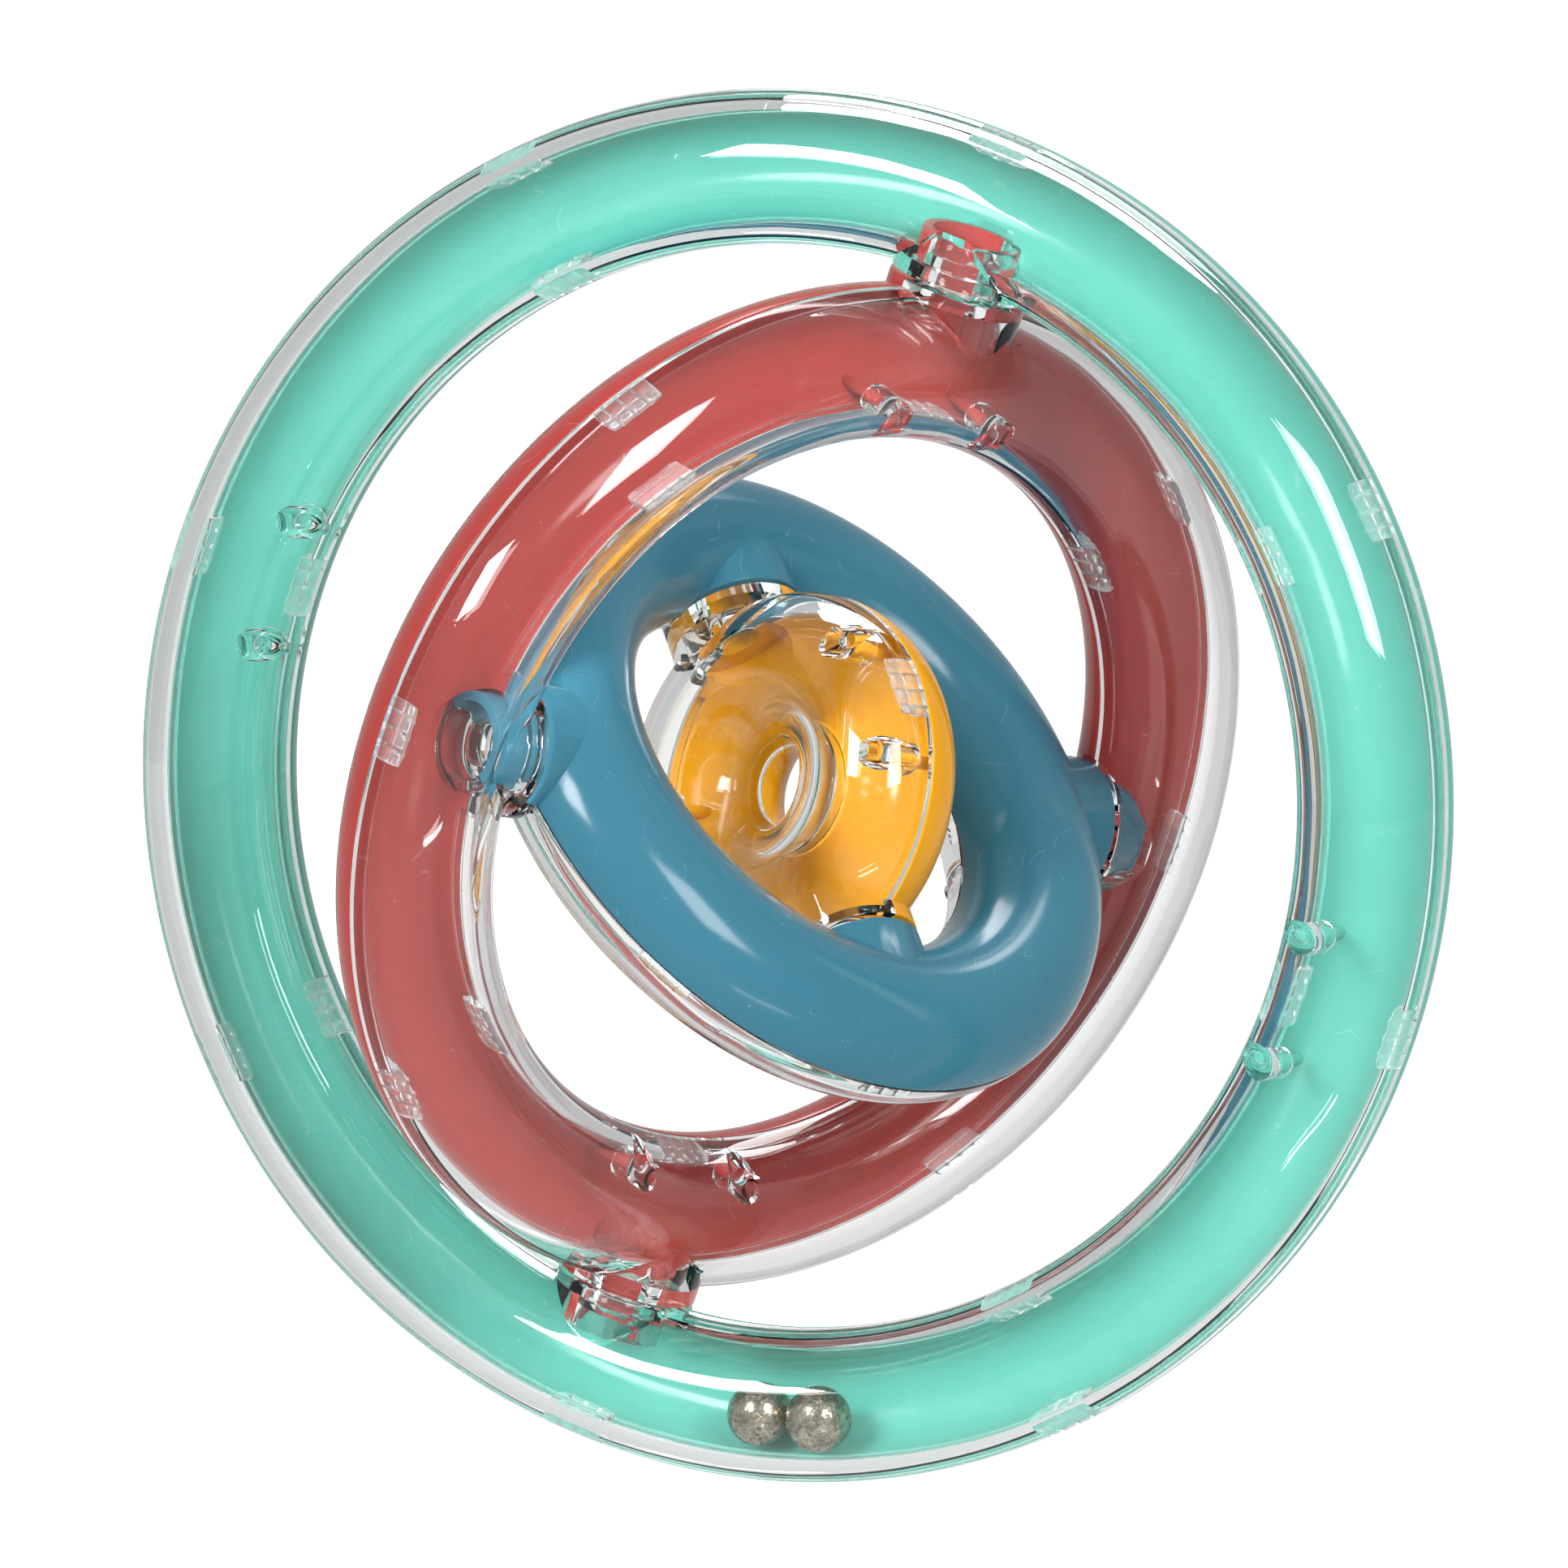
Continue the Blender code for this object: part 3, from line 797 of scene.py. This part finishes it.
class RATTLE_OT_outer_ring(bpy.types.Operator):
    """Build the clear and mint shells of the outer ring"""
    bl_idname = "rattle.outer_ring"
    bl_label = "Outer Ring"

    def execute(self, context):
        build_ring(context, "outer_ring", "middle_ring", "mint_plastic",
                   context.scene.rattle_colours.mint, 1.0)
        return {"FINISHED"}


class RATTLE_OT_middle_ring(bpy.types.Operator):
    """Build the clear and red shells of the middle ring"""
    bl_idname = "rattle.middle_ring"
    bl_label = "Middle Ring"

    def execute(self, context):
        build_ring(context, "middle_ring", "inner_ring", "red_plastic",
                   context.scene.rattle_colours.red, 0.8)
        return {"FINISHED"}


class RATTLE_OT_inner_ring(bpy.types.Operator):
    """Build the clear and blue shells of the inner ring"""
    bl_idname = "rattle.inner_ring"
    bl_label = "Inner Ring"

    def execute(self, context):
        build_ring(context, "inner_ring", "centre_disc", "blue_plastic",
                   context.scene.rattle_colours.blue, 0.6)
        return {"FINISHED"}


class RATTLE_OT_centre_disc(bpy.types.Operator):
    """Build the clear and yellow shells of the centre disc"""
    bl_idname = "rattle.centre_disc"
    bl_label = "Centre Disc"

    def execute(self, context):
        build_ring(context, "centre_disc", None, "yellow_plastic",
                   context.scene.rattle_colours.yellow, 0.45)
        return {"FINISHED"}


class RATTLE_OT_steel_balls(bpy.types.Operator):
    """Build the steel balls in the outer ring"""
    bl_idname = "rattle.steel_balls"
    bl_label = "Steel Balls"

    def execute(self, context):
        sizes, colours = context.scene.rattle_sizes, context.scene.rattle_colours
        t = np.linspace(0, math.pi, 41)
        sphere = turned(np.stack([-np.cos(t), np.sin(t)], -1) * sizes.ball_radius, 80)
        for number in (1, 2):
            node = "steel_ball_%d" % number
            low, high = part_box(node)
            made = solid_object(node, sphere)
            finished(made, "ball_%d" % number, Matrix.Translation((low + high) / 2),
                     ball_steel(colours.steel), "ball_%d" % number, node, 180)
        return {"FINISHED"}


# ---------------------------------------------------------------- studio

def aim(thing, azimuth, elevation, distance):
    """Put a lamp or camera at a distance, looking at the rattle's centre."""
    a, e = math.radians(azimuth), math.radians(elevation)
    away = Vector((math.sin(a) * math.cos(e), -math.cos(a) * math.cos(e), math.sin(e)))
    thing.location = away * distance
    thing.rotation_euler = away.to_track_quat("Z", "Y").to_euler()


def softbox(name, azimuth, elevation, distance, width, height, power):
    """A rectangular light facing the rattle's centre; azimuth 0 is in front, 90 to the right."""
    light = bpy.data.lights.new(name, "AREA")
    light.shape, light.size, light.size_y, light.energy = "RECTANGLE", width, height, power
    lamp = bpy.data.objects.new(name, light)
    bpy.context.scene.collection.objects.link(lamp)
    aim(lamp, azimuth, elevation, distance)
    lamp.visible_camera = False


def seen(t, levels, through):
    """Radiance by path, from the levels and what is seen by light that is only refracted."""
    path = t.add("LightPath")
    sharp = t.math("LESS_THAN", path.outputs["Diffuse Depth"], 0.5)
    unmirrored = t.math("LESS_THAN", path.outputs["Glossy Depth"], 0.5)
    bent = t.math("MULTIPLY", path.outputs["Is Transmission Ray"], unmirrored)
    twice = t.math("GREATER_THAN", path.outputs["Glossy Depth"], 1.5)
    mirrored = t.mixed(twice, levels["mirrored"], levels["trapped"])
    value = t.mixed(sharp, levels["soft"], t.mixed(bent, mirrored, through))
    return t.mixed(path.outputs["Is Camera Ray"], value, levels["eye"])


def studio_world():
    """White to the eye; a little darker overhead and at the sides where clear parts bend it."""
    world = bpy.data.worlds.new("studio")
    bpy.context.scene.world = world
    world.use_nodes = True
    world.cycles.sampling_method = "NONE"
    t = Tree(world.node_tree)
    parts = t.put(t.add("SeparateXYZ"), Vector=t.add("TexCoord").outputs["Generated"])
    tall = t.math("ABSOLUTE", parts.outputs[2])
    side = t.math("ABSOLUTE", t.math("ADD", t.math("MULTIPLY", parts.outputs[0], 0.93),
                                     t.math("MULTIPLY", parts.outputs[1], 0.37)))
    through = t.math("MULTIPLY", t.ramp(tall, 0.25, 0.8, 1.05, 0.85),
                     t.ramp(side, 0.5, 0.9, 1.0, 0.95))
    t.put(world.node_tree.nodes["Background"], Color=(1.0, 1.0, 1.0, 1.0),
          Strength=seen(t, SKY, through))


def floor_paint(tint):
    """Pale floor that reads as white; it glows, and its paint adds little light of its own."""
    material, t, shader, vector = start_material("floor paint")
    material.cycles.emission_sampling = "NONE"
    far = t.put(t.add("VectorMath", operation="LENGTH"), i0=vector).outputs["Value"]
    shade = tuple(part * 0.3 for part in tint)
    t.put(shader, Base_Color=(*shade, 1.0), Roughness=0.9, Emission_Color=(*tint, 1.0),
          Emission_Strength=seen(t, FLOOR, t.ramp(far, 1.2, 4.0, 0.8, 0.9)))
    return material


class RATTLE_OT_stage(bpy.types.Operator):
    """Set up the floor, the lights and the camera"""
    bl_idname = "rattle.stage"
    bl_label = "Stage"

    def execute(self, context):
        t = np.linspace(0, 2 * math.pi, 96, endpoint=False)
        x, y = FLOOR_RADIUS * np.cos(t), FLOOR_RADIUS * np.sin(t)
        rows = np.stack([np.stack([x, y, 0 * t + FLOOR_LEVEL - drop], -1)
                         for drop in (0.0, 0.01)])
        floor = solid_object("studio_floor", surface(rows, False))
        floor.data.materials.append(floor_paint(context.scene.rattle_colours.floor))
        context.scene.view_settings.view_transform = "Standard"
        studio_world()
        for settings in SOFTBOXES:
            softbox(*settings)
        add_camera()
        return {"FINISHED"}


def add_camera():
    """A long lens a little to the right of the front and slightly above."""
    camera = bpy.data.cameras.new("camera")
    camera.sensor_width, camera.lens = 36.0, CAMERA["lens"]
    camera.shift_x, camera.shift_y = CAMERA["shift"]
    camera.clip_start, camera.clip_end = 0.1, 60.0
    stand = bpy.data.objects.new("camera", camera)
    bpy.context.scene.collection.objects.link(stand)
    aim(stand, CAMERA["azimuth"], CAMERA["elevation"], CAMERA["distance"])
    bpy.context.scene.camera = stand


class RATTLE_PT_panel(bpy.types.Panel):
    """Buttons and sizes for the rattle"""
    bl_idname = "RATTLE_PT_panel"
    bl_label = "Gyroscope Rattle"
    bl_space_type = "VIEW_3D"
    bl_region_type = "UI"
    bl_category = "Rattle"

    def draw(self, context):
        for operator in OPERATORS:
            self.layout.operator(operator.bl_idname)
        for group in (context.scene.rattle_sizes, context.scene.rattle_colours):
            box = self.layout.box()
            for key in group.__annotations__:
                box.prop(group, key)


OPERATORS = (RATTLE_OT_outer_ring, RATTLE_OT_middle_ring, RATTLE_OT_inner_ring,
             RATTLE_OT_centre_disc, RATTLE_OT_steel_balls, RATTLE_OT_stage)
CLASSES = (RattleSizes, RattleColours) + OPERATORS + (RATTLE_PT_panel,)


def register():
    """Make the classes and the two groups of properties known."""
    for item in CLASSES:
        bpy.utils.register_class(item)
    bpy.types.Scene.rattle_sizes = PointerProperty(type=RattleSizes)
    bpy.types.Scene.rattle_colours = PointerProperty(type=RattleColours)


def unregister():
    """Undo register."""
    del bpy.types.Scene.rattle_colours
    del bpy.types.Scene.rattle_sizes
    for item in reversed(CLASSES):
        bpy.utils.unregister_class(item)


def main():
    """Build everything in order."""
    register()
    for operator in OPERATORS:
        getattr(bpy.ops.rattle, operator.bl_idname.split(".")[1])()


if __name__ == "__main__":
    main()
